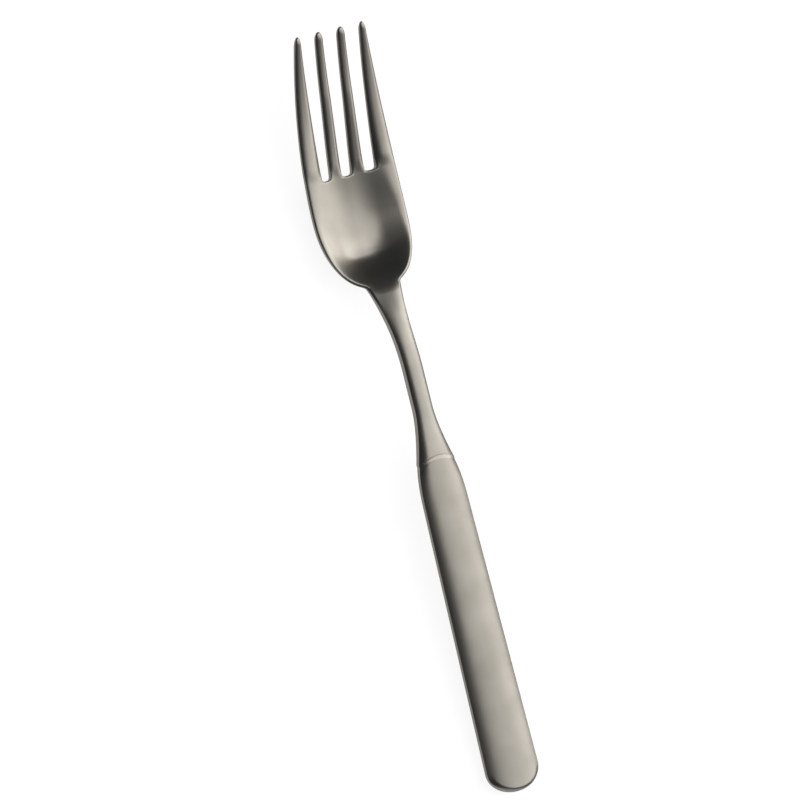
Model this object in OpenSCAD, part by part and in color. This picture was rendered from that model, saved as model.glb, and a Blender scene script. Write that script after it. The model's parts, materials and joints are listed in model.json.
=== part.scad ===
// Serving fork with a hollow handle. A forged head carries a tang, which is
// cemented into a handle of two pressed half-shells. One weld runs along the
// seam of the shells and another closes the joint between handle and shank.
//
// Every piece is drawn with that joint at y = 0, the tines towards +Y, the
// butt end towards -Y and the seam of the handle in the plane z = 0. The
// module laid_down() then rests the fork on its bowl and the heel of its handle.

/* [Lengths] */
// Length of the handle, from the joint to the butt end
handle_len = 104; // [85:1:125]
// Length of the shank, from the joint to the foot of the bowl
shank_len = 56; // [50:1:66]
// Length of the head, from the foot of the bowl to the tips
head_len = 80; // [72:1:92]
// Length of the tines
tine_len = 45; // [36:1:48]

/* [Head] */
// Greatest width of the bowl
head_w = 31.4; // [28:0.2:36]
// Width over the outer tines at their tips
tips_w = 23.8; // [23:0.2:26]
// Distance between two neighbouring slots
slot_pitch = 7.6; // [7.2:0.1:7.8]
// Width of a slot at its root
gap_root = 3.5; // [2.8:0.1:4]
// Width of a slot at the tips
gap_tip = 5.1; // [4.2:0.1:5.4]
// Thickness of the bowl
plate_t = 2.2; // [1.8:0.1:2.8]
// Thickness of the tines at their roots
tine_t = 2.8; // [2.2:0.1:3.2]
// Thickness of the tines just behind their tips
tip_t = 2.1; // [1.4:0.1:2.4]
// Drop of the bowl's rim below the seam of the handle
bowl_drop = 11.2; // [6:0.2:14]
// Depth of the bowl below its own rim
dish_depth = 5.2; // [3:0.1:6]

/* [Shank] */
// Width of the shank at its narrowest
shank_w = 6.1; // [4.8:0.1:7]
// Height of the shank above the seam plane
shank_front = 1.7; // [1.4:0.1:2.4]
// Depth of the shank below the seam plane
shank_back = 2.2; // [1.6:0.1:2.6]
// Width of the neck where it runs into the bowl
neck_w = 11.2; // [8:0.2:13]

/* [Handle] */
// Width of the handle at its mouth
mouth_w = 12.4; // [10:0.2:13]
// Width of the handle near the butt end
butt_w = 18; // [15:0.2:20]
// Height of the front shell above the seam, at the butt end
handle_front = 3; // [2.6:0.1:4]
// Height of the front shell above the seam, at the mouth
mouth_front = 2.8; // [2.6:0.1:3.4]
// Depth of the back shell below the seam
handle_back = 3.2; // [2.6:0.1:3.6]
// Wall of the pressed shells
wall = 0.8; // [0.5:0.1:1]

/* [Inside] */
// Length of the tang in the handle
tang_len = 45; // [25:1:60]
// Width of the tang
tang_w = 5; // [4:0.2:6]
// Thickness of the tang
tang_t = 2.2; // [1.6:0.1:2.2]

/* [Hidden] */

steel = "#b4afa5";
weld_steel = "#c2beb6";
cement = "#8d8a84";

// Places along the fork
tip_y = shank_len + head_len;
slot_y = tip_y - tine_len;
widest_y = shank_len + 25;
lowest_y = shank_len + 23;
flat_y = shank_len + 54;
bend_y = shank_len - 27;
flare_len = 17;
neck_start = shank_len - 26;
plate_start = shank_len - 9;
plate_end = shank_len + 7;

// Shape of the outline
flare_power = 1.6;
neck_power = 3;
neck_blend = 1.5;
bowl_power = 2.6;
taper_power = 1.7;
rise_power = 1.9;
nose_len = 2.6;
slot_round = 1.3;
slot_power = 3.4;

// Bars: power of the dome, upright edges above and below the seam plane, flat share of the back
crown_power = 2.3;
shank_edges = [0.7, 0.6];
shank_flat = 0.85;
handle_edges = [0.5, 0.3];
handle_flat = 0.7;

// Hollow of the bowl: its foot along the fork, and the shares of its wall across
dish_start = shank_len - 2.5;
foot_y = shank_len + 10;
deepest_y = shank_len + 20;
foot_share = 0.85;
tip_dish = 0.25;
wall_low = 0.55;
wall_high = 0.78;
wall_end = 0.95;

// Edges of the plate, and the tines that it turns into
centre_swell = 0.2;
brim = 1.4;
brim_keep = 0.25;
notch = 0.6;
tine_run = 4;
tine_dome = 0.5;
tine_belly = 0.4;

// The handle's own plan and its joints
shoulder_len = 12;
shoulder_power = 2.5;
root_w = 14.5;
end_len = 7.4;
end_flat = 0.8;
heel_flat = 0.2;
seam = 0.15;
weld_t = 1.1;
groove = 0.06;
lip = 0.4;
ground = 0.05;

// How finely the surfaces are divided
lane_cells = 7;
lanes = 4;
row_cells = lanes * lane_cells;
arc_cells = 18;
tang_bevel = 3 * tang_w / row_cells;

function clamp(q) = max(0, min(1, q));
function smooth(q) = let (c = clamp(q)) c * c * (3 - 2 * c);
function mix(a, b, q) = a + (b - a) * q;
function quarter(q) = sqrt(1 - clamp(q) * clamp(q));
function soft_max(a, b, k) = (a + b + sqrt((a - b) * (a - b) + k * k)) / 2;
function steps(from, to, n) = [for (i = [1 : n]) mix(from, to, i / n)];

// Bars, for shank and handle: front height and back depth at share u of the half-width, from -1 to 1
function dome(u, height, edge) = edge + (height - edge) * (1 - pow(abs(u), crown_power));
function keel(u, depth, edge, flat) = edge + (depth - edge) * quarter((abs(u) - flat) / (1 - flat));

// Plan of the head: half-width at y
function flare(y) = pow(1 - clamp(y / flare_len), flare_power);
function neck_half(y) = shank_w / 2 + (mouth_w - shank_w) / 2 * flare(y)
    + (neck_w - shank_w) / 2 * pow(clamp((y - neck_start) / (shank_len - neck_start)), neck_power);
function bowl_half(y) = y < widest_y
    ? head_w / 2 * pow(1 - pow(clamp((widest_y - y) / (widest_y - shank_len)), bowl_power), 1 / bowl_power)
    : (head_w - (head_w - tips_w) * pow((y - widest_y) / (tip_y - widest_y), taper_power)) / 2;
function neck_soft(y) = neck_blend * smooth((y - neck_start) / (shank_len - neck_start));
function head_half(y) = soft_max(neck_half(y), bowl_half(y), neck_soft(y));

// Side view of the head: height of its rim
function rim_z(y) = y < lowest_y
    ? -bowl_drop * smooth((y - bend_y) / (lowest_y - bend_y))
    : -bowl_drop * (1 - pow((y - lowest_y) / (tip_y - lowest_y), rise_power));

// Hollow of the bowl: its depth along the middle, and the share of it that is left across.
// The slope of the wall eases in, stays the same from wall_low to wall_high and eases out.
function fade(y) = smooth((y - deepest_y) / (flat_y - deepest_y));
function dish_along(y) = mix(dish_depth, tip_dish, fade(y)) * mix(
    1 - pow(1 - clamp((y - dish_start) / (deepest_y - dish_start)), 2),
    smooth((y - dish_start) / (foot_y - dish_start)), foot_share);
function dish_across(u) = let (
        lead = min(1, u / wall_low),
        tail = 1 - clamp((u - wall_high) / (wall_end - wall_high)),
        rise = wall_low * (pow(lead, 3) - pow(lead, 4) / 2) + max(0, min(u, wall_high) - wall_low)
            + (wall_end - wall_high) * (0.5 - pow(tail, 3) + pow(tail, 4) / 2))
    1 - rise / (wall_high - wall_low + (wall_low + wall_end - wall_high) / 2);
function dish_half(y) = y < widest_y ? (head_half(y) + head_w / 2) / 2 : head_half(y);
function dish(x, y) = dish_along(y) * dish_across(abs(x) / dish_half(y));

// Heights of the shank, and half-thicknesses of plate and tines, which round off towards their edges
function bar_top(y, u) = let (f = flare(y))
    rim_z(y) + dome(u, mix(shank_front, mouth_front, f), mix(shank_edges[0], handle_edges[0], f));
function bar_under(y, u) = let (f = flare(y), depth = mix(shank_back, handle_back, f)) rim_z(y)
    - mix(keel(u, depth, shank_edges[1], shank_flat), keel(u, depth, handle_edges[1], handle_flat), f);
function plate_half(y, u, to_side, to_slot) = plate_t / 2 * (1 + centre_swell * (1 - u * u) * (1 - fade(y)))
    * mix(brim_keep, 1, quarter(1 - to_side / brim)) - notch * (1 - quarter(1 - to_slot / notch));
function tine_half(y, lane, fall) = mix(tine_t, tip_t, clamp((y - slot_y) / tine_len)) / 2
    * (1 - fall * pow(abs(lane), crown_power));
function plate_share(y) = smooth((y - plate_start) / (plate_end - plate_start));

// Tines: gap of a slot, and left and right edge of lane j
function slot_gap(y) = mix(gap_root, gap_tip, (y - slot_y) / tine_len)
    * pow(1 - pow(1 - clamp((y - slot_y) / slot_round), slot_power), 1 / slot_power);
function nose(y) = sqrt(1 - pow(1 - clamp((tip_y - y) / nose_len), 2));
function lane_border(y, b) = b == 0 ? -head_half(y) : b == lanes ? head_half(y)
    : (b - lanes / 2) * slot_pitch * (y < slot_y ? head_half(y) / head_half(slot_y) : 1);
function lane_edges(y, j) = let (
        gap = y < slot_y ? 0 : slot_gap(y),
        left = lane_border(y, j) + (j == 0 ? 0 : gap / 2),
        right = lane_border(y, j + 1) - (j == lanes - 1 ? 0 : gap / 2),
        middle = (left + right) / 2)
    [for (e = [left, right]) mix(middle, e, nose(y))];

// Points across a lane, closer together at both edges, and all points across a row below the slots
function across(e) = let (b = min(brim, 0.3 * (e[1] - e[0])), n = lane_cells - 4) concat([e[0], e[0] + b / 4],
    [for (k = [0 : n]) mix(e[0] + b, e[1] - b, k / n)], [e[1] - b / 4, e[1]]);
function row_xs(y) = [for (j = [0 : lanes - 1]) let (xs = across(lane_edges(y, j)))
    for (k = [(j == 0 ? 0 : 1) : lane_cells]) xs[k]];

// One point of the head on its top (side 1) or underside (side -1), from its place in plan, its place
// across a tine from -1 to 1 and its distances to the outline and to a slot
function head_point(x, y, lane, to_side, to_slot, side) = let (
        u = max(-1, min(1, x / head_half(y))),
        turned = smooth((y - slot_y) / tine_run),
        plate = plate_half(y, u, to_side, to_slot),
        middle = rim_z(y) - dish(x, y),
        above = middle + mix(plate, tine_half(y, lane, tine_dome), turned),
        below = middle - mix(plate, tine_half(y, lane, tine_belly), turned),
        top = mix(bar_top(y, u), above, plate_share(y)),
        under = mix(bar_under(y, u), below, plate_share(y)))
    [x, y, (top + under + side * (top - under) * nose(y)) / 2];

// Rows of the head, each a list of tops and a list of undersides
function tang_row(y) = [for (side = [1, -1]) [for (k = [0 : row_cells])
    let (x = mix(-tang_w, tang_w, k / row_cells) / 2)
    [x, y, side * (tang_t / 2 - max(0, abs(x) - tang_w / 2 + tang_bevel))]]];
function mouth_row() = [for (side = [1, -1]) [for (x = row_xs(0)) let (u = x / head_half(0))
    [(mouth_w / 2 - groove) * u, 0, side > 0 ? dome(u, mouth_front - groove, handle_edges[0])
        : -keel(u, handle_back - groove, handle_edges[1], handle_flat)]]];
function joined_row(y) = let (xs = row_xs(y)) [for (side = [1, -1]) [for (k = [0 : row_cells])
    let (root = y == slot_y && k % lane_cells == 0 && k > 0 && k < row_cells)
    head_point(xs[k], y, 0, head_half(y) - abs(xs[k]), root ? 0 : notch, side)]];
function tine_row(y) = [for (j = [0 : lanes - 1]) let (e = lane_edges(y, j))
    for (side = [1, -1]) [for (x = across(e)) let (
            gaps = [x - e[0], e[1] - x],
            to_side = j == 0 ? gaps[0] : j == lanes - 1 ? gaps[1] : brim,
            to_slot = j == 0 ? gaps[1] : j == lanes - 1 ? gaps[0] : min(gaps))
        head_point(x, y, (gaps[0] - gaps[1]) / (e[1] - e[0]), to_side, to_slot, side)]];

joined_ys = concat([lip], steps(lip, flare_len, 8), steps(flare_len, plate_start, 6),
    steps(plate_start, plate_end, 14), steps(plate_end, slot_y - notch, 14), [slot_y]);
tine_ys = concat([for (a = [10, 25, 45, 65, 90]) slot_y + slot_round * (1 - cos(a))],
    steps(slot_y + slot_round, tip_y - nose_len, 12),
    [for (a = [30, 52, 70, 82]) tip_y - nose_len * (1 - sin(a))]);
head_rows = concat([tang_row(-tang_len), tang_row(0), mouth_row()], [for (y = joined_ys) joined_row(y)]);
last_joined = len(head_rows) - 1;
last_row = last_joined + len(tine_ys);

// Number of a point in the head's list: row i, lane j, side s (0 top, 1 under), place k
function spot(i, j, s, k) = i <= last_joined
    ? (i * 2 + s) * (row_cells + 1) + j * lane_cells + k
    : (last_joined + 1) * 2 * (row_cells + 1)
        + (((i - last_joined - 1) * lanes + j) * 2 + s) * (lane_cells + 1) + k;
function halves(q) = [[q[0], q[1], q[2]], [q[0], q[2], q[3]]];
function back_to_front(list) = [for (i = [len(list) - 1 : -1 : 0]) list[i]];

module fork_head() {
    points = [for (row = concat(head_rows, [for (y = tine_ys) tine_row(y)])) for (side = row) each side];
    quads = concat(
        [for (i = [0 : last_row - 1], j = [0 : lanes - 1], k = [0 : lane_cells - 1], s = [0, 1])
            let (q = [spot(i, j, s, k), spot(i, j, s, k + 1), spot(i + 1, j, s, k + 1), spot(i + 1, j, s, k)])
            s == 0 ? back_to_front(q) : q],
        [for (i = [0 : last_row - 1], j = [0 : lanes - 1]) if (j == 0 || i >= last_joined)
            [spot(i + 1, j, 0, 0), spot(i, j, 0, 0), spot(i, j, 1, 0), spot(i + 1, j, 1, 0)]],
        [for (i = [0 : last_row - 1], j = [0 : lanes - 1]) if (j == lanes - 1 || i >= last_joined)
            let (k = lane_cells)
            [spot(i, j, 0, k), spot(i + 1, j, 0, k), spot(i + 1, j, 1, k), spot(i, j, 1, k)]],
        [for (j = [0 : lanes - 1], k = [0 : lane_cells - 1])
            [spot(0, j, 0, k), spot(0, j, 0, k + 1), spot(0, j, 1, k + 1), spot(0, j, 1, k)]],
        [for (j = [0 : lanes - 1], k = [0 : lane_cells - 1]) let (i = last_row)
            [spot(i, j, 0, k), spot(i, j, 1, k), spot(i, j, 1, k + 1), spot(i, j, 0, k + 1)]]);
    color(steel) polyhedron(points, [for (q = quads) each halves(q)], convexity = 8);
}

// Plan and heights of the handle at depth d behind the joint, inset by a wall t
function end_share(d, t) = clamp((d - (handle_len - end_len)) / (end_len - t));
function plan_half(d) = mix(root_w, butt_w, (d - weld_t) / handle_len) / 2
    - (root_w - mouth_w) / 2 * pow(1 - clamp((d - weld_t) / shoulder_len), shoulder_power);
function handle_half(d, t) = (plan_half(d) - t) * quarter(end_share(d, t));
function end_fall(d, t, side) = let (flat = side > 0 ? end_flat : heel_flat)
    quarter((end_share(d, t) - flat) / (1 - flat));
function shell_height(d, t, side) = (side > 0
    ? mix(mouth_front, handle_front, smooth(2 * (d - weld_t) / handle_len)) : handle_back) - t;

// Rows along the handle: the straight part, then the round end by angle
function handle_depths(t) = concat([weld_t, weld_t + lip],
    steps(weld_t + lip, shoulder_len, 6),
    steps(shoulder_len, handle_len - end_len, 8),
    [for (a = [12 : 12 : 84]) handle_len - end_len + (end_len - t) * sin(a)]);

// Half of a section, front (side 1) or back (side -1), without and with the two edges down to the seam
function half_arc(half, y, height, fall, side) = let (
        edge = mix(seam / 2, handle_edges[side > 0 ? 0 : 1], fall))
    [for (k = [0 : arc_cells]) let (u = sin(180 * k / arc_cells - 90))
        [half * u, y, side > 0 ? dome(u, height, edge) : -keel(u, height, edge, handle_flat)]];
function shell_arc(i, t, side) = let (
        d = handle_depths(t)[i],
        inset = i == 0 && t == 0 ? groove : 0,
        fall = end_fall(d, t, side))
    half_arc(handle_half(d, t) - inset, -d, shell_height(d, t, side) * fall - inset, fall, side);
function shell_row(i, t, side) = let (
        arc = shell_arc(i, t, side),
        feet = [for (p = [arc[0], arc[arc_cells]]) [p[0], p[1], side * seam / 2]])
    concat([feet[0]], arc, [feet[1]]);
depth_rows = len(handle_depths(0));
arc_last = arc_cells + 2;

// A pressed half-shell: outer skin, inner skin, rim, mouth and butt end
module half_shell(side) {
    points = [for (t = [0, wall], i = [0 : depth_rows - 1]) each shell_row(i, t, side)];
    n = arc_last + 1;
    function at(skin, i, k) = (skin * depth_rows + i) * n + k;
    last = depth_rows - 1;
    quads = concat(
        [for (s = [0, 1], i = [0 : last - 1], k = [0 : arc_last - 1])
            let (q = [at(s, i, k), at(s, i, k + 1), at(s, i + 1, k + 1), at(s, i + 1, k)])
            s == 0 ? q : back_to_front(q)],
        [for (i = [0 : last - 1]) [at(0, i, 0), at(0, i + 1, 0), at(1, i + 1, 0), at(1, i, 0)]],
        [for (i = [0 : last - 1], k = [arc_last])
            [at(0, i + 1, k), at(0, i, k), at(1, i, k), at(1, i + 1, k)]],
        [for (k = [0 : arc_last - 1]) [at(0, 0, k + 1), at(0, 0, k), at(1, 0, k), at(1, 0, k + 1)]],
        [for (s = [0, 1], k = [1 : arc_last - 1])
            let (q = [at(s, last, 0), at(s, last, k), at(s, last, k + 1)])
            s == 0 ? q : back_to_front(q)],
        [[at(0, last, 0), at(0, last, arc_last), at(1, last, arc_last), at(1, last, 0)]]);
    faces = [for (q = quads) each len(q) == 3 ? [q] : halves(q)];
    polyhedron(points, side > 0 ? faces : [for (f = faces) back_to_front(f)], convexity = 6);
}

module handle_front_shell() {
    color(steel) half_shell(1);
}

// The back is ground flat, so that the fork lies still
module handle_back_shell() {
    color(steel) difference() {
        half_shell(-1);
        translate([-butt_w, -handle_len - 1, -handle_back - 1])
            cube([2 * butt_w, handle_len + 2, 1 + ground]);
    }
}

// Weld along the seam: down one side, round the butt end and up the other
module seam_weld() {
    function edge(t, way) = [for (i = [0 : depth_rows - 1])
        let (p = shell_row(i, t, 1)[arc_last]) [way * p[0], p[1]]];
    outline = concat(edge(0, 1), back_to_front(edge(0, -1)), edge(wall, -1), back_to_front(edge(wall, 1)));
    color(weld_steel) translate([0, 0, -seam / 2]) linear_extrude(seam) polygon(outline);
}

// Weld at the mouth: a ring between the rims of the shells and the shank
function mouth_loop(inset, d) = concat(half_arc(mouth_w / 2 - inset, -d, mouth_front - inset, 1, 1),
    back_to_front(half_arc(mouth_w / 2 - inset, -d, handle_back - inset, 1, -1)));

module neck_weld() {
    loops = [for (l = [[groove, 0], [wall, 0], [wall, weld_t], [groove, weld_t]]) mouth_loop(l[0], l[1])];
    n = len(loops[0]);
    quads = [for (l = [0 : 3], k = [0 : n - 1])
        [l * n + k, l * n + (k + 1) % n, (l + 1) % 4 * n + (k + 1) % n, (l + 1) % 4 * n + k]];
    color(weld_steel) polyhedron([for (l = loops) each l], [for (q = quads) each halves(q)], convexity = 4);
}

// Cement that fills the shells and grips the tang
module handle_cement() {
    w = tang_w / 2;
    h = tang_t / 2;
    v = w - tang_bevel;
    g = h - tang_bevel;
    tang_outline = [[w, g], [v, h], [-v, h], [-w, g], [-w, -g], [-v, -h], [v, -h], [w, -g]];
    rows = concat([mouth_loop(wall, 0)],
        [for (i = [0 : depth_rows - 1])
            concat(shell_arc(i, wall, 1), back_to_front(shell_arc(i, wall, -1)))]);
    n = len(rows[0]);
    last = len(rows) - 1;
    quads = [for (i = [0 : last - 1], k = [0 : n - 1])
        [i * n + k, i * n + (k + 1) % n, (i + 1) * n + (k + 1) % n, (i + 1) * n + k]];
    caps = [[for (k = [n - 1 : -1 : 0]) k], [for (k = [0 : n - 1]) last * n + k]];
    faces = concat([for (q = quads) each halves(q)], caps);
    color(cement) difference() {
        polyhedron([for (r = rows) each r], faces, convexity = 4);
        translate([0, 1, 0]) rotate([90, 0, 0]) linear_extrude(tang_len + 1) polygon(tang_outline);
    }
}

// Rest of the fork: the line from the heel of the handle that just touches the bowl
heel_rise = quarter(1 - ground / handle_back);
heel_y = -(handle_len - end_len * (1 - mix(heel_flat, 1, heel_rise)));
heel_z = ground - handle_back;
function keel_z(y) = head_point(0, y, 0, brim, notch, -1)[2];
tilt = max([for (y = [shank_len : 0.5 : slot_y]) atan2(heel_z - keel_z(y), y - heel_y)]);
lift = -heel_y * sin(tilt) - heel_z * cos(tilt);
middle_y = (tip_y - handle_len) / 2 * cos(tilt);

module laid_down() {
    translate([0, -middle_y, lift]) rotate([tilt, 0, 0]) children();
}

laid_down() fork_head();
laid_down() handle_front_shell();
laid_down() handle_back_shell();
laid_down() seam_weld();
laid_down() neck_weld();
laid_down() handle_cement();
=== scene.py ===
"""Serving fork with a hollow handle, in satin steel, lying on a pale studio floor.

Shapes are worked out in millimetres in the fork's own joint frame: the joint between head and
handle at y = 0, the tines towards +Y, the seam of the handle in the plane z = 0. The class Rest
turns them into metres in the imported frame, where the fork lies on its bowl and its heel.
"""

import json
import logging
import math
from dataclasses import dataclass
from enum import Enum
from typing import Any

import bmesh
import bpy
import numpy as np
from mathutils import Matrix, Vector


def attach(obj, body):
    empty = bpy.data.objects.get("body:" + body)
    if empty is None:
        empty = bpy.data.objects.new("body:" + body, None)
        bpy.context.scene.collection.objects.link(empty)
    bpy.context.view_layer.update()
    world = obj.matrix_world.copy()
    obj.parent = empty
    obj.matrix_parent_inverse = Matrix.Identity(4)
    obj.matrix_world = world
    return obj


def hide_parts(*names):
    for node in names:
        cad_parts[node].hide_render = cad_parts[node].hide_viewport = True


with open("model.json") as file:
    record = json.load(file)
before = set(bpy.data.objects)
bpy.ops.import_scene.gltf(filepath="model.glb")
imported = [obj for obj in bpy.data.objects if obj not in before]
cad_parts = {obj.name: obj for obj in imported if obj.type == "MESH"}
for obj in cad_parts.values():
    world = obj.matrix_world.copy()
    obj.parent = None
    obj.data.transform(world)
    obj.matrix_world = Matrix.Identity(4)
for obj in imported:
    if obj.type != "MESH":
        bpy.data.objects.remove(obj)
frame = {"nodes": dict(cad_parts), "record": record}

Array = np.ndarray
Number = float | Array

# A millimetre in metres
MM = 0.001
# A length in millimetres that counts as none
TINY = 1e-9
# Points whose distances are worked out at once, so that the arrays stay small
BATCH = 1500
# Points that are merged are closer than this, in metres
MERGE = 1e-7
# Edges that turn by more than this stay sharp
CREASE_DEG = 38.0
# Sockets of a Mix node for colours, by number because others share their names
MIX_FROM, MIX_TO, MIX_RESULT = 6, 7, 2

log = logging.getLogger("serving_fork")


class Side(Enum):
    """Which half of the handle a shell is, and whether it lies above or below the seam."""

    FRONT = 1
    BACK = -1


# Curves that the shapes share


def ease(q: Number) -> Array:
    """Go smoothly from 0 to 1: 3 q^2 - 2 q^3, with q held between 0 and 1."""
    c = np.clip(q, 0.0, 1.0)
    return c * c * (3.0 - 2.0 * c)


def mix(a: Number, b: Number, q: Number) -> Number:
    """Straight mix: a where q is 0, b where q is 1."""
    return a + (b - a) * q


def soft_max(a: Number, b: Number, k: Number) -> Array:
    """The larger of two values, with a fillet of width k where they meet."""
    return (a + b + np.sqrt((a - b) ** 2 + k * k)) / 2.0


def quarter(q: Number) -> Array:
    """A quarter of a circle: 1 at q = 0, falling to 0 with an upright end at q = 1."""
    return np.sqrt(np.maximum(0.0, 1.0 - np.clip(q, 0.0, 1.0) ** 2))


def steps(start: float, stop: float, count: int) -> Array:
    """Even steps from start to stop, without start itself."""
    return np.linspace(start, stop, count + 1)[1:]


def quarter_turn(count: int) -> Array:
    """Angles of a quarter turn, in the given number of even steps."""
    return np.linspace(0.0, math.pi / 2.0, count + 1)


def distance_to(points: Array, starts: Array, ends: Array) -> Array:
    """Shortest distance in plan from each point to a set of straight edges.

    Each edge is a start and an end. The foot of a point on an edge is its projection, held
    between the two ends, and the distance is the one to the nearest foot.

    Args:
        points: Points, as an array of shape (n, 2).
        starts: Starts of the edges, shape (m, 2).
        ends: Ends of the edges, shape (m, 2).

    Returns:
        One distance per point.
    """
    along = ends - starts
    square = np.maximum(TINY, (along**2).sum(1))
    nearest = []
    for part in np.array_split(points, max(1, len(points) // BATCH)):
        offset = part[:, None, :] - starts[None]
        share = np.clip((offset * along[None]).sum(2) / square, 0.0, 1.0)
        nearest.append(((offset - share[..., None] * along[None]) ** 2).sum(2).min(1))
    return np.sqrt(np.concatenate(nearest))


def nearest_of(points: Array, lines: list[Array]) -> Array:
    """Shortest distance in plan from each point to several lines.

    Args:
        points: Points, shape (n, 2).
        lines: The lines, each a row of points of shape (m, 2).

    Returns:
        One distance per point.
    """
    starts = np.concatenate([line[:-1] for line in lines])
    ends = np.concatenate([line[1:] for line in lines])
    return distance_to(points, starts, ends)


# Finishes


def linear(hex_colour: str) -> tuple[float, float, float, float]:
    """Turn an sRGB hex colour into the linear values that the shaders take.

    Args:
        hex_colour: The colour, as # and six digits.

    Returns:
        Red, green, blue and an alpha of 1.
    """
    parts = np.array([int(hex_colour[i : i + 2], 16) / 255.0 for i in (1, 3, 5)])
    value = np.where(parts <= 0.04045, parts / 12.92, ((parts + 0.055) / 1.055) ** 2.4)
    return (*value.tolist(), 1.0)


def add_node(
    tree: bpy.types.NodeTree, kind: str, inputs: dict[Any, Any] | None = None, **settings: Any
) -> bpy.types.Node:
    """Add one node, set it up and link it.

    Args:
        tree: The tree that gets the node.
        kind: Blender's name for the node.
        inputs: Values for its sockets, or other nodes' output sockets to link to them.
        settings: Properties of the node.

    Returns:
        The new node.
    """
    node = tree.nodes.new(kind)
    for key, value in settings.items():
        setattr(node, key, value)
    for key, value in (inputs or {}).items():
        if isinstance(value, bpy.types.NodeSocket):
            tree.links.new(value, node.inputs[key])
        else:
            node.inputs[key].default_value = value
    return node


def new_material(name: str) -> tuple[bpy.types.Material, bpy.types.NodeTree]:
    """Make a material with an empty node tree.

    Args:
        name: Name of the material.

    Returns:
        The material and its tree.
    """
    material = bpy.data.materials.new(name)
    material.use_nodes = True
    material.node_tree.nodes.clear()
    return material, material.node_tree


@dataclass(frozen=True)
class SatinSteel:
    """Stainless steel, tumbled to a fine satin.

    Tumbling leaves short shallow scratches in every direction, so highlights are wide and soft
    and spread alike across and along. Handling leaves faint clouds, and edges are rubbed a
    little brighter.
    """

    name: str
    body: str = "#cec8be"
    cloud: str = "#b5afa3"
    edge: str = "#d0cac0"
    edge_share: float = 0.5
    roughness: float = 0.33
    rough_spread: float = 0.03
    cloud_mm: float = 12.0
    cloud_detail: float = 4.0
    cloud_range: tuple[float, float] = (0.3, 0.7)
    grit_mm: float = 0.45
    grit_detail: float = 3.0
    grit_height_mm: float = 0.009
    grit_strength: float = 0.9

    def material(self) -> bpy.types.Material:
        """Make the material.

        The grit is drawn several times coarser than the real scratches, about 0.05 mm apart,
        because those are too fine to show.

        Returns:
            The new material.
        """
        material, tree = new_material(self.name)
        place = add_node(tree, "ShaderNodeTexCoord").outputs["Object"]
        cloud, grit = (
            add_node(
                tree, "ShaderNodeTexNoise", {"Vector": place, "Scale": 1.0 / (size * MM), "Detail": detail}
            ).outputs["Fac"]
            for size, detail in ((self.cloud_mm, self.cloud_detail), (self.grit_mm, self.grit_detail))
        )
        rim = add_node(tree, "ShaderNodeAttribute", attribute_name="rim").outputs["Fac"]
        worn = add_node(tree, "ShaderNodeMath", {0: rim, 1: self.edge_share}, operation="MULTIPLY")
        mixed = {"Factor": cloud, MIX_FROM: linear(self.body), MIX_TO: linear(self.cloud)}
        colour = add_node(tree, "ShaderNodeMix", mixed, data_type="RGBA").outputs[MIX_RESULT]
        mixed = {"Factor": worn.outputs[0], MIX_FROM: colour, MIX_TO: linear(self.edge)}
        colour = add_node(tree, "ShaderNodeMix", mixed, data_type="RGBA").outputs[MIX_RESULT]
        spread = {
            "Value": cloud,
            "From Min": self.cloud_range[0],
            "From Max": self.cloud_range[1],
            "To Min": self.roughness - self.rough_spread,
            "To Max": self.roughness + self.rough_spread,
        }
        rough = add_node(tree, "ShaderNodeMapRange", spread).outputs["Result"]
        relief = {"Height": grit, "Strength": self.grit_strength, "Distance": self.grit_height_mm * MM}
        bump = add_node(tree, "ShaderNodeBump", relief).outputs["Normal"]
        look = {"Base Color": colour, "Metallic": 1.0, "Roughness": rough, "Normal": bump}
        shader = add_node(tree, "ShaderNodeBsdfPrincipled", look)
        add_node(tree, "ShaderNodeOutputMaterial", {"Surface": shader.outputs["BSDF"]})
        return material


@dataclass(frozen=True)
class CastCement:
    """Cutler's cement, cast into the handle: a dull grey, slightly grainy filling."""

    name: str = "cast_cement"
    light: str = "#96928b"
    dark: str = "#7f7b74"
    grain_mm: float = 0.8
    grain_detail: float = 4.0
    roughness: float = 0.9

    def material(self) -> bpy.types.Material:
        """Make the material: two greys mixed by a grain of about a millimetre.

        Returns:
            The new material.
        """
        material, tree = new_material(self.name)
        place = add_node(tree, "ShaderNodeTexCoord").outputs["Object"]
        sizes = {"Vector": place, "Scale": 1.0 / (self.grain_mm * MM), "Detail": self.grain_detail}
        grain = add_node(tree, "ShaderNodeTexNoise", sizes).outputs["Fac"]
        mixed = {"Factor": grain, MIX_FROM: linear(self.light), MIX_TO: linear(self.dark)}
        colour = add_node(tree, "ShaderNodeMix", mixed, data_type="RGBA").outputs[MIX_RESULT]
        look = {"Base Color": colour, "Roughness": self.roughness}
        shader = add_node(tree, "ShaderNodeBsdfPrincipled", look)
        add_node(tree, "ShaderNodeOutputMaterial", {"Surface": shader.outputs["BSDF"]})
        return material


# Meshes


def grid_quads(index: Array) -> Array:
    """Quads of a grid of point numbers, one for each cell.

    Args:
        index: Point numbers, shape (rows, columns).

    Returns:
        Corners of the quads, shape (cells, 4).
    """
    corners = [index[:-1, :-1], index[:-1, 1:], index[1:, 1:], index[1:, :-1]]
    return np.stack(corners, axis=-1).reshape(-1, 4)


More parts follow.
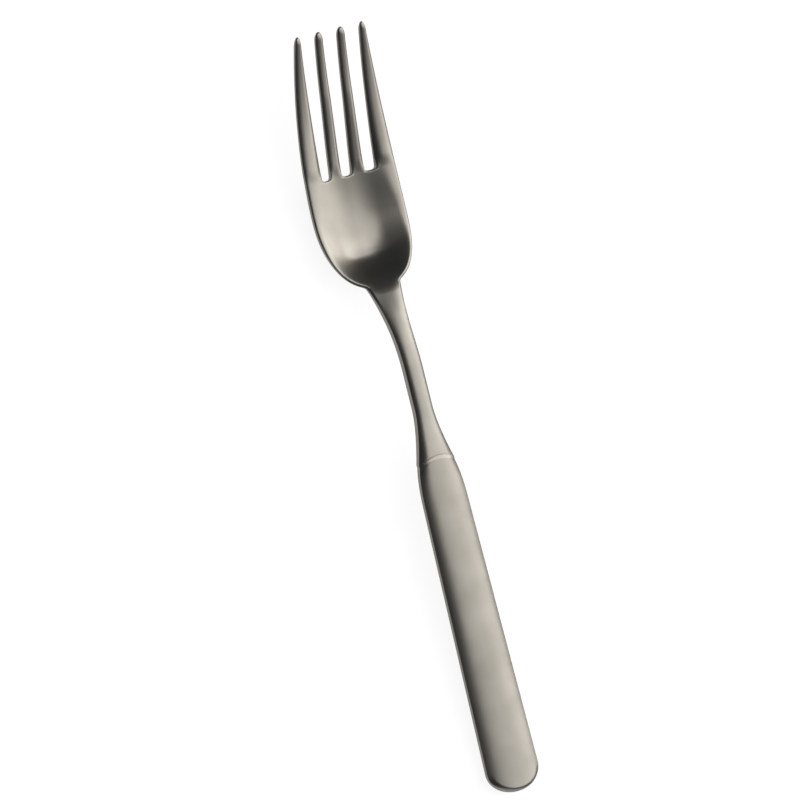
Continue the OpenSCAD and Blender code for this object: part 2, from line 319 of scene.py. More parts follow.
def make_piece(name: str, points: Array, quads: Array, rim: Array) -> bpy.types.Object:
    """Make one closed mesh from points and quads and put it in the scene.

    Rows that shrink to a point are merged there, so poles and seams are closed, and the faces
    are then turned outwards. Faces are shaded smooth, apart from sharp edges.

    Args:
        name: Name of the object and of its mesh.
        points: Places in metres, shape (n, 3).
        quads: Corners of the faces, shape (m, 4).
        rim: How near each point is to a worn edge, from 0 to 1.

    Returns:
        The new object, at the origin.
    """
    mesh = bpy.data.meshes.new(name)
    mesh.from_pydata(points.tolist(), [], quads.tolist())
    wear = mesh.attributes.new("rim", "FLOAT", "POINT")
    wear.data.foreach_set("value", np.ascontiguousarray(rim, dtype=np.float32))
    shell = bmesh.new()
    shell.from_mesh(mesh)
    bmesh.ops.remove_doubles(shell, verts=shell.verts, dist=MERGE)
    bmesh.ops.recalc_face_normals(shell, faces=shell.faces)
    shell.to_mesh(mesh)
    shell.free()
    mesh.shade_smooth()
    mesh.set_sharp_from_angle(angle=math.radians(CREASE_DEG))
    piece = bpy.data.objects.new(name, mesh)
    bpy.context.scene.collection.objects.link(piece)
    return piece


def dress(piece: bpy.types.Object, node: str, finish: bpy.types.Material) -> bpy.types.Object:
    """Give a piece its finish, hang it under the root body and hide the CAD node that it stands for.

    Args:
        piece: The new piece.
        node: The CAD node that it replaces.
        finish: The material.

    Returns:
        The same piece.
    """
    piece.data.materials.append(finish)
    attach(piece, "root")
    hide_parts(node)
    return piece


# The fork


@dataclass(frozen=True)
class Rest:
    """How the fork lies: turned about X by the tilt, lifted off the table and centred along Y."""

    tilt: float
    lift: float
    middle: float

    @classmethod
    def on_land(cls, mount: dict[str, Any], land_y: float, land_z: float) -> "Rest":
        """Read the rest from the flat land on the back of the handle.

        The land's outward normal is (0, sin t, -cos t) at a tilt of t, and one point of it is
        known in both frames.

        Args:
            mount: The record's entry for the land.
            land_y: Where that point lies in the joint frame, along the handle.
            land_z: Where it lies in the joint frame, in height.

        Returns:
            The rest of this fork.
        """
        tilt = math.atan2(mount["axis"][1], -mount["axis"][2])
        here_y = land_y * math.cos(tilt) - land_z * math.sin(tilt)
        here_z = land_y * math.sin(tilt) + land_z * math.cos(tilt)
        return cls(tilt, mount["pos_m"][2] / MM - here_z, here_y - mount["pos_m"][1] / MM)

    def lay(self, x: Array, y: Array, z: Array) -> Array:
        """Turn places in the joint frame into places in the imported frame.

        Args:
            x: Places across, in millimetres.
            y: Places along.
            z: Heights. The three arrays are broadcast against each other.

        Returns:
            Places in metres, shape (n, 3).
        """
        c, s = math.cos(self.tilt), math.sin(self.tilt)
        laid = [x, y * c - z * s - self.middle, y * s + z * c + self.lift]
        return np.stack([np.ravel(v) for v in np.broadcast_arrays(*laid)], axis=1) * MM


@dataclass(frozen=True)
class BarSection:
    """Section of shank or handle: upright edges, a domed front and a flat back with round corners."""

    land: float = 0.5
    back_land: float = 0.3
    back_flat: float = 0.7
    crown_power: float = 2.3

    def crown(self, u: Array) -> Array:
        """Front height at share u of the half-width: 1 - |u|^a, a little fuller than a parabola."""
        return 1.0 - np.minimum(1.0, np.abs(u)) ** self.crown_power

    def belly(self, u: Array) -> Array:
        """Back depth at share u: flat in the middle, then a quarter circle to the side."""
        return quarter(np.maximum(0.0, np.abs(u) - self.back_flat) / (1.0 - self.back_flat))

    def front(self, u: Array, height: Number) -> Array:
        """Height of the front: the upright edge, and the dome on it."""
        return self.land + (height - self.land) * self.crown(u)

    def back(self, u: Array, depth: Number, shrink: Number = 1.0) -> Array:
        """Height of the back, below zero: the upright edge, times shrink, and the belly under it."""
        edge = self.back_land * shrink
        return -edge - (depth - edge) * self.belly(u)


@dataclass(frozen=True)
class Mouth:
    """The joint between head and handle: both have this section there, with a groove between.

    The line of the joint is arched towards the tips in the middle.
    """

    width: float = 12.4
    front: float = 2.8
    back: float = 3.2
    seam: float = 0.15
    weld_t: float = 1.1
    groove: float = 0.06
    hollow: float = 0.02
    lip: float = 0.4
    lip_cells: int = 8
    arch: float = 2.0
    arch_reach: float = 12.0

    def lip_rows(self) -> Array:
        """Distances from the weld over the round lip, even by angle."""
        return self.lip * (1.0 - np.cos(quarter_turn(self.lip_cells)))

    def inset(self, away: Number) -> Array:
        """How far the round lip has fallen at a distance from the weld: a quarter of an ellipse."""
        return self.groove * (1.0 - quarter(1.0 - np.asarray(away) / self.lip))

    def bow(self, u: Array, away: Number) -> Array:
        """How far a point is pushed towards the tips: 1 - u^2 across, fading away from the joint."""
        return self.arch * (1.0 - u * u) * (1.0 - ease(np.abs(away) / self.arch_reach))


@dataclass(frozen=True)
class Spot:
    """Places in plan on the head, all arrays of one shape.

    They are given across and along, with the distances to the outline's sides and to the slots,
    and with the place across the lane from -1 to 1.
    """

    x: Array
    y: Array
    to_side: Array
    to_slot: Array
    lane: Array


@dataclass(frozen=True)
class ForkHead:
    """Head of the fork, one forging: tang, flare, shank, dished bowl and tines.

    A reach is a distance from the foot of the bowl, where the shank ends: towards the handle for
    neck and bend, towards the tips for the others.
    """

    rest: Rest
    section: BarSection
    mouth: Mouth
    steel: SatinSteel = SatinSteel("tumbled_stainless_steel")

    # Lengths, widths and thicknesses
    shank_len: float = 56.0
    head_len: float = 80.0
    tine_len: float = 45.0
    head_w: float = 31.4
    tips_w: float = 23.8
    neck_w: float = 11.2
    shank_w: float = 6.1
    shank_front: float = 1.9
    shank_back: float = 2.2
    shank: BarSection = BarSection(land=0.7, back_land=0.6, back_flat=0.85)
    plate_t: float = 2.2
    tine_t: float = 2.8
    tip_t: float = 2.1
    slot_pitch: float = 7.6
    gap_root: float = 3.5
    gap_tip: float = 5.1

    # Tang, inside the handle
    tang_len: float = 45.0
    tang_w: float = 5.0
    tang_t: float = 2.2
    tang_bevel: float = 0.55

    # Outline in plan: flare at the joint, neck, oval of the bowl, sides, tips and ends of the slots
    flare_len: float = 17.0
    flare_power: float = 1.6
    neck_reach: float = 26.0
    neck_power: float = 3.0
    neck_blend: float = 1.5
    bowl_reach: float = 25.0
    bowl_power: float = 2.6
    side_power: float = 1.7
    nose_len: float = 2.6
    slot_round: float = 1.3
    slot_power: float = 3.4

    # Side view: the drop from the bend to the lowest place, and the rise to the tips
    bowl_drop: float = 11.2
    bend_reach: float = 27.0
    lowest_reach: float = 23.0
    rise_power: float = 1.9

    # Dish: its depth, how it falls at the foot, how it fades towards the tines, and its wall across
    dish_depth: float = 5.55
    tip_dish: float = 0.25
    dish_before: float = 2.5
    dish_after: float = 10.0
    dish_run: float = 20.0
    dish_share: float = 0.85
    dish_wrap: float = 5.0
    dish_open: float = 0.5
    deepest_reach: float = 20.0
    fade_reach: float = 12.0
    flat_reach: float = 60.0
    fade_ease: float = 0.7
    wall_low: float = 0.6
    wall_high: float = 0.84
    wall_far: float = 0.66
    wall_end: float = 0.97

    # Plate: where the bar turns into it, its swell, and its rim, straight at the foot and then round
    plate_before: float = 9.0
    plate_after: float = 7.0
    centre_swell: float = 0.2
    brim_foot: float = 0.7
    foot_power: float = 1.0
    brim: float = 1.3
    brim_power: float = 2.0
    brim_run: float = 14.0
    brim_keep: float = 0.25
    notch: float = 0.6

    # Tines: the shares of their thickness that they lose at the edges, above and below
    tine_dome: float = 0.65
    tine_belly: float = 0.6
    tine_power: float = 3.0
    tine_run: float = 4.0

    # How far wear shows from an edge
    worn: float = 0.5

    # Cells of the mesh: across a lane, in the fine band at each edge, and along the parts
    lanes: int = 4
    lane_cells: int = 20
    edge_cells: int = 6
    edge_share: float = 0.3
    flare_cells: int = 26
    shank_cells: int = 26
    foot_cells: int = 48
    bowl_cells: int = 44
    notch_cells: int = 8
    round_cells: int = 16
    tine_cells: int = 64

    @property
    def tip_y(self) -> float:
        """Where the tines end."""
        return self.shank_len + self.head_len

    @property
    def slot_y(self) -> float:
        """Where the slots have their roots."""
        return self.tip_y - self.tine_len

    def flare(self, y: Array) -> Array:
        """Share of the flare that is left at y: 1 - y / length, to a power."""
        return (1.0 - np.clip(y / self.flare_len, 0.0, 1.0)) ** self.flare_power

    def bowl_half(self, y: Array) -> Array:
        """Half-width of the bowl's oval, which closes across the neck, and of the tines.

        It is a superellipse up to the widest place, and from there the sides close in towards
        the tips by a power of the distance.

        Args:
            y: Places along.

        Returns:
            The half-widths.
        """
        widest = self.shank_len + self.bowl_reach
        before = np.clip((widest - y) / self.bowl_reach, 0.0, 1.0)
        after = np.maximum(0.0, y - widest) / (self.tip_y - widest)
        oval = self.head_w / 2.0 * (1.0 - before**self.bowl_power) ** (1.0 / self.bowl_power)
        return oval - (self.head_w - self.tips_w) / 2.0 * after**self.side_power

    def half_width(self, y: Array) -> Array:
        """Half of the outline's width: flare, shank and neck, filleted into the bowl.

        The neck widens with a power of its length.

        Args:
            y: Places along.

        Returns:
            The half-widths.
        """
        reach = np.clip((y - self.shank_len + self.neck_reach) / self.neck_reach, 0.0, 1.0)
        neck = (
            self.shank_w / 2.0
            + (self.mouth.width - self.shank_w) / 2.0 * self.flare(y)
            + (self.neck_w - self.shank_w) / 2.0 * reach**self.neck_power
        )
        blend = self.neck_blend * ease(reach)
        return soft_max(neck, self.bowl_half(y), blend) - self.mouth.inset(y)

    def rim_z(self, y: Array) -> Array:
        """Height of the outline: it eases down from the shank and rises again by a power.

        Args:
            y: Places along.

        Returns:
            The heights.
        """
        lowest = self.shank_len + self.lowest_reach
        bend = self.shank_len - self.bend_reach
        rise = (np.maximum(0.0, y - lowest) / (self.tip_y - lowest)) ** self.rise_power
        return -self.bowl_drop * (ease((y - bend) / (lowest - bend)) - rise)

    def dish_across(self, u: Array, high: Array) -> Array:
        """Share of the dish's depth at share u of the half-width.

        The slope of the wall eases in from the middle, stays the same over the wall and eases
        out at the rim. The depth is the sum of that slope, and an ease sums up to q^3 - q^4 / 2.

        Args:
            u: Shares of the half-width.
            high: Where the slope starts to ease out, the same shape.

        Returns:
            The shares of the depth.
        """
        low, end = self.wall_low, self.wall_end
        v = np.abs(u)
        lead = np.minimum(v / low, 1.0)
        tail = 1.0 - np.clip((v - high) / (end - high), 0.0, 1.0)
        rise = low * (lead**3 - lead**4 / 2.0) + np.clip(v - low, 0.0, high - low)
        rise = rise + (end - high) * (0.5 - tail**3 + tail**4 / 2.0)
        return 1.0 - rise / ((high - low) + (low + end - high) / 2.0)

    def dish(self, x: Array, y: Array) -> Array:
        """Depth of the bowl below its rim.

        Along the fork it falls by an ease just inside the foot of the bowl and goes on falling a
        little to the middle. From there it fades out over a long stretch into the tines, by a mix
        of a straight line and an ease. Across, it is as wide as the outline, and at the foot,
        where the outline closes, half-way between that and the whole bowl. The foot is bent
        towards the tips at its sides, and the wall gets narrower towards the slots.

        Args:
            x: Places across.
            y: Places along, the same shape.

        Returns:
            The depths.
        """
        start = self.shank_len - self.dish_before + self.dish_wrap * (2.0 * x / self.head_w) ** 2
        foot = ease((y - start) / (self.dish_before + self.dish_after))
        run = 1.0 - (1.0 - np.clip((y - start) / (self.dish_before + self.dish_run), 0.0, 1.0)) ** 2
        far = (y - self.shank_len - self.fade_reach) / (self.flat_reach - self.fade_reach)
        far = np.clip(far, 0.0, 1.0)
        fade = mix(far, ease(far), self.fade_ease)
        depth = mix(self.dish_depth, self.tip_dish, fade) * mix(run, foot, self.dish_share)
        half = self.half_width(y)
        closing = y < self.shank_len + self.bowl_reach
        half = np.where(closing, mix(self.head_w / 2.0, half, self.dish_open), half)
        deepest = self.shank_len + self.deepest_reach
        high = mix(self.wall_high, self.wall_far, ease((y - deepest) / (self.slot_y - deepest)))
        return depth * self.dish_across(x / half, high)

    def plate_share(self, y: Array) -> Array:
        """How much the section is a plate, not a bar: 0 on the shank, 1 in the bowl."""
        start = self.shank_len - self.plate_before
        return ease((y - start) / (self.plate_before + self.plate_after))

    def nose(self, y: Array) -> Array:
        """Share of the size that a tine keeps near its tip: a quarter of an ellipse."""
        return quarter(1.0 - (self.tip_y - y) / self.nose_len)

    def slot_gap(self, y: Array) -> Array:
        """Width of a slot: it widens evenly to the tips and ends in a squarish U.

        Args:
            y: Places along the slot, from its root.

        Returns:
            The widths.
        """
        depth = np.clip((y - self.slot_y) / self.slot_round, 0.0, 1.0)
        round_end = (1.0 - (1.0 - depth) ** self.slot_power) ** (1.0 / self.slot_power)
        return mix(self.gap_root, self.gap_tip, (y - self.slot_y) / self.tine_len) * round_end

    def lane_edges(self, y: Array) -> tuple[Array, Array]:
        """Left and right edge of every lane, one lane for each tine.

        Below the slots neighbouring lanes share an edge, and all shrink with the outline.

        Args:
            y: Rows along the head, shape (rows,).

        Returns:
            The left and the right edges, each of shape (rows, lanes).
        """
        half = self.half_width(y)[:, None]
        at_slot = self.half_width(np.array([self.slot_y]))[0]
        shrink = np.where(y < self.slot_y, self.half_width(y) / at_slot, 1.0)[:, None]
        inner = (np.arange(1, self.lanes) - self.lanes / 2.0) * self.slot_pitch * shrink
        gap = np.where(y < self.slot_y, 0.0, self.slot_gap(np.maximum(y, self.slot_y)))[:, None]
        left = np.concatenate([-half, inner + gap / 2.0], axis=1)
        right = np.concatenate([inner - gap / 2.0, half], axis=1)
        middle = (left + right) / 2.0
        nose = self.nose(y)[:, None]
        return mix(middle, left, nose), mix(middle, right, nose)

    def across(self, left: Array, right: Array) -> Array:
        """Places across each lane, close together at its edges as on a quarter circle.

        Args:
            left: Left edges, any shape.
            right: Right edges, the same shape.

        Returns:
            The places, with one more axis of lane_cells + 1.
        """
        lead = 1.0 - np.cos(quarter_turn(self.edge_cells))
        inner = np.linspace(0.0, 1.0, self.lane_cells - 2 * self.edge_cells + 1)[1:-1]
        width = (right - left)[..., None]
        band = np.minimum(self.brim, self.edge_share * width)
        return np.concatenate(
            [
                left[..., None] + band * lead,
                left[..., None] + band + (width - 2.0 * band) * inner,
                right[..., None] - band * lead[::-1],
            ],
            axis=-1,
        )

    def rows(self) -> tuple[Array, Array]:
        """Rows along the head: those below the slots, and those across the tines.

        Returns:
            The two lists of y. The first ends at the roots of the slots.
        """
        start = self.shank_len - self.plate_before
        stop = self.shank_len + self.plate_after
        turn = quarter_turn(self.notch_cells)[1:]
        joined = np.concatenate(
            [
                self.mouth.lip_rows(),
                steps(self.mouth.lip, self.flare_len, self.flare_cells),
                steps(self.flare_len, start, self.shank_cells),
                steps(start, stop, self.foot_cells),
                steps(stop, self.slot_y - self.notch, self.bowl_cells),
                self.slot_y - self.notch * (1.0 - np.sin(turn)),
            ]
        )
        bend = quarter_turn(self.round_cells)[1:]
        tines = np.concatenate(
            [
                self.slot_y + self.slot_round * (1.0 - np.cos(bend)),
                steps(self.slot_y + self.slot_round, self.tip_y - self.nose_len, self.tine_cells),
                self.tip_y - self.nose_len * (1.0 - np.sin(bend)),
            ]
        )
        return joined, tines

    def plate_half(self, spot: Spot, u: Array) -> Array:
        """Half of the plate's thickness.

        It swells a little in the middle of the bowl. Its rim is thinner: a straight bevel at the
        foot of the bowl, which turns into a quarter of an ellipse further on. At the roots of the
        slots it is rounded off.

        Args:
            spot: The places.
            u: Shares of the half-width there.

        Returns:
            The half-thicknesses.
        """
        deepest = self.shank_len + self.deepest_reach
        fade = 1.0 - ease((spot.y - deepest) / (self.flat_reach - self.deepest_reach))
        swollen = self.plate_t / 2.0 * (1.0 + self.centre_swell * (1.0 - u * u) * fade)
        past_foot = ease((spot.y - self.shank_len) / self.brim_run)
        power = mix(self.foot_power, self.brim_power, past_foot)
        inward = np.clip(spot.to_side / mix(self.brim_foot, self.brim, past_foot), 0.0, 1.0)
        bevel = (1.0 - (1.0 - inward) ** power) ** (1.0 / power)
        rounded = self.notch * (1.0 - quarter(1.0 - spot.to_slot / self.notch))
        return swollen * mix(self.brim_keep, 1.0, bevel) - rounded

    def heights(self, spot: Spot) -> tuple[Array, Array]:
        """Top and underside over places in plan.

        The bar has the shank's domed section. The plate follows the rim, sinks by the dish and
        carries half of its thickness to each side. From the roots of the slots it turns into
        tines, which get thinner towards their edges by a power.

        Args:
            spot: The places.

        Returns:
            The heights of the top and of the underside.
        """
        x, y = spot.x, spot.y
        inset = self.mouth.inset(y)
        u = np.clip(x / self.half_width(y), -1.0, 1.0)
        flare = self.flare(y)
        rim = self.rim_z(y)
        front = mix(self.shank_front, self.mouth.front, flare) - inset
        back = mix(self.shank_back, self.mouth.back, flare) - inset
        bar_top = rim + mix(self.shank.front(u, front), self.section.front(u, front), flare)
        bar_under = rim + mix(self.shank.back(u, back), self.section.back(u, back), flare)

        plate = self.plate_half(spot, u)
        along = np.clip((y - self.slot_y) / self.tine_len, 0.0, 1.0)
        tine = mix(self.tine_t, self.tip_t, along) / 2.0
        round_off = np.abs(spot.lane) ** self.tine_power
        turned = ease((y - self.slot_y) / self.tine_run)
        above = mix(plate, tine * (1.0 - self.tine_dome * round_off), turned)
        below = mix(plate, tine * (1.0 - self.tine_belly * round_off), turned)
        middle = rim - self.dish(x, y)

        share = self.plate_share(y)
        top = mix(bar_top, middle + above, share)
        under = mix(bar_under, middle - below, share)
        centre = (top + under) / 2.0
        half = (top - under) / 2.0 * self.nose(y)
        return centre + half, centre - half

    def spots(self, joined: Array, tines: Array) -> Spot:
        """Places in plan of all points of the head, in one list.

        The rows below the slots come first, where neighbouring lanes share a column, and then
        the rows of the tines.

        Args:
            joined: Rows below the slots.
            tines: Rows across the tines.

        Returns:
            The places.
        """
        rows = len(joined)
        all_y = np.concatenate([joined, tines])
        left, right = self.lane_edges(all_y)
        places = self.across(left, right)
        width = np.maximum(TINY, right - left)[..., None]
        lane = np.clip(2.0 * (places - left[..., None]) / width - 1.0, -1.0, 1.0)
        flat = []
        for grid in (places, np.broadcast_to(all_y[:, None, None], places.shape), lane):
            low = grid[:rows]
            low = np.concatenate([low[:, :, :-1].reshape(rows, -1), low[:, -1:, -1]], axis=1)
            flat.append(np.concatenate([low.ravel(), grid[rows:].ravel()]))
        sides = [np.stack([line, all_y], 1) for line in (left[:, 0], right[:, -1])]
        inner = np.concatenate([right[rows - 1 :, :-1], left[rows - 1 :, 1:]], axis=1)
        slots = [np.stack([line, all_y[rows - 1 :]], 1) for line in inner.T]
        place = np.stack(flat[:2], 1)
        return Spot(flat[0], flat[1], nearest_of(place, sides), nearest_of(place, slots), flat[2])

    def tang(self, columns: int) -> tuple[Array, Array, Array]:
        """The two rows of the tang: a flat bar with bevelled corners.

        Args:
            columns: Points in a row.

        Returns:
            x, y and the height of the top, each of shape (2 * columns,).
        """
        x = np.tile(np.linspace(-0.5, 0.5, columns) * self.tang_w, 2)
        y = np.repeat([-self.tang_len, 0.0], columns)
        z = self.tang_t / 2.0 - np.maximum(0.0, np.abs(x) - self.tang_w / 2.0 + self.tang_bevel)
        return x, y, z

    def build(self) -> bpy.types.Object:
        """Build the head as two stacked grids: one over all lanes, and one for each tine.

        Returns:
            The new object.
        """
        joined, tines = self.rows()
        cells, lanes = self.lane_cells, self.lanes
        columns = lanes * cells + 1
        spot = self.spots(joined, tines)
        top, under = self.heights(spot)
        edge = np.minimum(spot.to_side, spot.to_slot)
        u = np.clip(spot.x / self.half_width(spot.y), -1.0, 1.0)

        tang_x, tang_y, tang_z = self.tang(columns)
        x = np.concatenate([tang_x, spot.x])
        y = np.concatenate([tang_y, spot.y + self.mouth.bow(u, spot.y)])
        top, under = np.concatenate([tang_z, top]), np.concatenate([-tang_z, under])
        wear = np.concatenate([np.zeros_like(tang_x), np.exp(-edge / self.worn)])
        points = np.concatenate([self.rest.lay(x, y, top), self.rest.lay(x, y, under)])

        split = len(tang_x) + len(joined) * columns
        body = np.arange(split).reshape(-1, columns)
        fork = np.arange(split, len(x)).reshape(len(tines), lanes, cells + 1)
        quads = self.closed_strip(body, len(x)) + [grid_quads(np.stack([body[0] + len(x), body[0]]))]
        for tine in range(lanes):
            foot = body[-1:, tine * cells : (tine + 1) * cells + 1]
            quads += self.closed_strip(np.concatenate([foot, fork[:, tine]]), len(x))
        return make_piece("fork_head_forging", points, np.concatenate(quads), np.tile(wear, 2))

    @staticmethod
    def closed_strip(grid: Array, under: int) -> list[Array]:
        """Faces of a strip: its top, its underside and the two walls between them.

        Args:
            grid: Numbers of the top's points, shape (rows, columns).
            under: What is added to a top point's number for the point below it.

        Returns:
            The quads of the four surfaces.
        """
        walls = [np.stack([grid[:, k] + under, grid[:, k]], axis=1) for k in (0, -1)]
        return [grid_quads(g) for g in (grid, grid[:, ::-1] + under, walls[0], walls[1][:, ::-1])]

    def make(self) -> list[bpy.types.Object]:
        """Build the head and dress it."""
        return [dress(self.build(), "fork_head", self.steel.material())]


@dataclass(frozen=True)
class Handle:
    """Hollow handle: two pressed half-shells, the welds along their seam and at the mouth, and cement."""

    rest: Rest
    section: BarSection
    mouth: Mouth
    pressed: SatinSteel = SatinSteel("tumbled_steel_pressing")
    welded: SatinSteel = SatinSteel("polished_weld_steel", body="#d9d3c8", cloud="#cfc9bd", roughness=0.28)
    filling: CastCement = CastCement()

    # Lengths, widths and thicknesses
    length: float = 104.0
    root_w: float = 14.5
    butt_w: float = 18.0
    butt_front: float = 3.0
    wall: float = 0.8
    ground: float = 0.05

    # Shoulder at the mouth, and the share of the length over which the front swells
    shoulder_len: float = 12.0
    shoulder_power: float = 2.5
    swell_share: float = 0.5

    # Butt end: its length, the shares of it before the edge falls, and the rounding of the front
    end_len: float = 7.4
    front_flat: float = 0.8
    back_flat: float = 0.2
    end_round: float = 1.3
    end_blend: float = 1.0 / 3.0

    # How steeply wear falls off from the seam
    worn_power: float = 24.0

    # Cells of the mesh, across and along the parts
    columns: int = 64
    shoulder_cells: int = 24
    straight_cells: int = 60
    end_cells: int = 32
    hollow_cells: int = 8

    def shares(self) -> Array:
        """Places across a section, from -1 to 1, even by angle."""
        return np.sin(np.linspace(-math.pi / 2.0, math.pi / 2.0, self.columns + 1))[None]

    def depths(self, wall: float) -> Array:
        """Rows behind the joint: round lip, shoulder, straight part, and the end by angle.

        Args:
            wall: How far the skin lies inside the outer one.

        Returns:
            Depths behind the joint, down to the butt end.
        """
        lip = self.mouth.weld_t + self.mouth.lip_rows()
        straight = self.length - self.end_len
        return np.concatenate(
            [
                lip,
                steps(lip[-1], self.shoulder_len, self.shoulder_cells),
                steps(self.shoulder_len, straight, self.straight_cells),
                straight + (self.end_len - wall) * np.sin(quarter_turn(self.end_cells)[1:]),
            ]
        )

    def skin(self, side: Side, wall: float) -> tuple[Array, Array, Array]:
        """One skin of a shell: sections of the bar, carried along the handle.

        The plan widens evenly, with a shoulder that falls off by a power at the mouth and half
        an ellipse at the butt end. There the front's dome runs on and is rounded off near the
        outline, and the back's depth falls as a quarter of an ellipse. The back is ground flat.
        The first and the last column stand at the seam, at the foot of the upright edge.

        Args:
            side: Front or back.
            wall: How far the skin lies inside the outer one.

        Returns:
            x, y and z, each of shape (rows, columns + 3).
        """
        depth = self.depths(wall)[:, None]
        behind = depth - self.mouth.weld_t
        u = self.shares()
        shoulder = (1.0 - np.clip(behind / self.shoulder_len, 0.0, 1.0)) ** self.shoulder_power
        half = mix(self.root_w, self.butt_w, behind / self.length) / 2.0
        half = half - (self.root_w - self.mouth.width) / 2.0 * shoulder - wall
        end = np.clip((depth - self.length + self.end_len) / (self.end_len - wall), 0.0, 1.0)
        inset = self.mouth.inset(behind) if wall == 0.0 else np.zeros_like(depth)
        half = half * quarter(end) - inset
        flat = self.front_flat if side is Side.FRONT else self.back_flat
        fall = quarter((end - flat) / (1.0 - flat))
        if side is Side.FRONT:
            swell = ease(behind / (self.swell_share * self.length))
            height = mix(self.mouth.front, self.butt_front, swell) - wall
            crown = self.section.front(u * quarter(end), height - inset)
            within = (1.0 - np.hypot(u * quarter(end), end)) * self.end_len
            rounded = mix(1.0, quarter(1.0 - within / self.end_round), ease(end / self.end_blend))
            z = self.section.land * fall + (crown - self.section.land) * rounded
        else:
            z = self.section.back(u, (self.mouth.back - wall) * fall - inset, fall)
            z = np.maximum(z, self.ground - self.mouth.back)
        foot = side.value * self.mouth.seam / 2.0 * fall
        u = np.concatenate([u[:, :1], u, u[:, -1:]], axis=1)
        y = -depth + self.mouth.bow(u, behind)
        return half * u, y, np.concatenate([foot, z, foot], axis=1)

    def shell(self, side: Side) -> bpy.types.Object:
        """Build a half-shell: outer skin, inner skin, and the rims that join them.

        Args:
            side: Front or back.

        Returns:
            The new object.
        """
        skins = [self.skin(side, wall) for wall in (0.0, self.wall)]
        points = np.concatenate([self.rest.lay(*skin) for skin in skins])
        shape = skins[0][2].shape
        outer, inner = np.arange(2 * shape[0] * shape[1]).reshape(2, *shape)
        quads = [
            grid_quads(outer),
            grid_quads(inner),
            grid_quads(np.stack([outer[:, 0], inner[:, 0]], axis=1)),
            grid_quads(np.stack([outer[:, -1], inner[:, -1]], axis=1)),
            grid_quads(np.stack([outer[0], inner[0]], axis=1)),
        ]
        across = np.concatenate([[1.0], np.abs(self.shares()[0]), [1.0]])
        wear = np.tile(np.broadcast_to(across**self.worn_power, shape).ravel(), 2)
        return make_piece(f"handle_{side.name.lower()}_pressing", points, np.concatenate(quads), wear)

    def seam_weld(self) -> bpy.types.Object:
        """Build the weld along the seam: a flat strip from the mouth, round the end and back.

        Returns:
            The new object.
        """
        half = self.mouth.seam / 2.0
        edges = []
        for wall in (0.0, self.wall):
            x, y, _ = self.skin(Side.FRONT, wall)
            line_x = np.concatenate([x[:, 0], x[::-1, -1]])
            line_y = np.concatenate([y[:, 0], y[::-1, -1]])
            edges.append((line_x, line_y))
        ring = [(0, half), (1, half), (1, -half), (0, -half), (0, half)]
        points = np.concatenate([self.rest.lay(*edges[k], np.array([z])) for k, z in ring])
        grid = np.arange(len(points)).reshape(len(ring), -1)
        quads = [grid_quads(grid), grid[:4, 0][None], grid[3::-1, -1][None]]
        return make_piece("seam_weld_strip", points, np.concatenate(quads), np.ones(len(points)))

    def neck_weld(self) -> bpy.types.Object:
        """Build the weld at the mouth: a hollow-faced ring between the two lips.

        Its section runs from the shank's lip over a shallow hollow to the shells' lip and back
        along the inside, and is carried once round the mouth.

        Returns:
            The new object.
        """
        m = self.mouth
        turn = np.linspace(0.0, math.pi, self.hollow_cells + 1)
        hollow = m.groove + m.hollow * np.sin(turn)
        inset = np.concatenate([hollow, [self.wall, self.wall, m.groove]])[:, None]
        depth = np.concatenate([m.weld_t * (1.0 - np.cos(turn)) / 2.0, [m.weld_t, 0.0, 0.0]])[:, None]
        u = self.shares()
        round_u = np.concatenate([u, u[:, ::-1], u[:, :1]], axis=1)
        front = self.section.front(u, m.front - inset)
        back = self.section.back(u[:, ::-1], m.back - inset)
        x = (m.width / 2.0 - inset) * round_u
        z = np.concatenate([front, back, front[:, :1]], axis=1)
        y = m.bow(round_u, 0.0) - depth
        points = self.rest.lay(x, y, z)
        quads = grid_quads(np.arange(len(points)).reshape(x.shape))
        return make_piece("neck_weld_ring", points, quads, np.zeros(len(points)))

    def make(self) -> list[bpy.types.Object]:
        """Build and dress the shells and the welds, and give the cement's own solid its material.

        Returns:
            The four new pieces and the solid.
        """
        pressed, welded = self.pressed.material(), self.welded.material()
        pieces = [
            dress(self.shell(Side.FRONT), "handle_front_shell", pressed),
            dress(self.shell(Side.BACK), "handle_back_shell", pressed),
            dress(self.seam_weld(), "seam_weld", welded),
            dress(self.neck_weld(), "neck_weld", welded),
        ]
        cement = frame["nodes"]["handle_cement"]
        cement.data.materials.clear()
        cement.data.materials.append(self.filling.material())
        return [*pieces, cement]


# Studio


def stance(place: Vector, right: Vector, up: Vector, back: Vector) -> Matrix:
    """Matrix of a light or a camera at a place, from the directions of its three axes."""
    return Matrix.Translation(place) @ Matrix((right, up, back)).transposed().to_4x4()


@dataclass(frozen=True)
class Ramp:
    """How the level of a light changes along a line: it eases from one value to another.

    The two places are in the unit of the line, and the values are levels or shares of one.
    """

    start: float
    stop: float
    before: float
    after: float

    def add(self, tree: bpy.types.NodeTree, place: bpy.types.NodeSocket) -> bpy.types.NodeSocket:
        """Add the ramp to a light, a floor or a room.

        Args:
            tree: Its node tree.
            place: The place along the line.

        Returns:
            The value there.
        """
        ends = {"From Min": self.start, "From Max": self.stop, "To Min": self.before, "To Max": self.after}
        inputs = {"Value": place, **ends}
        return add_node(tree, "ShaderNodeMapRange", inputs, interpolation_type="SMOOTHSTEP").outputs["Result"]


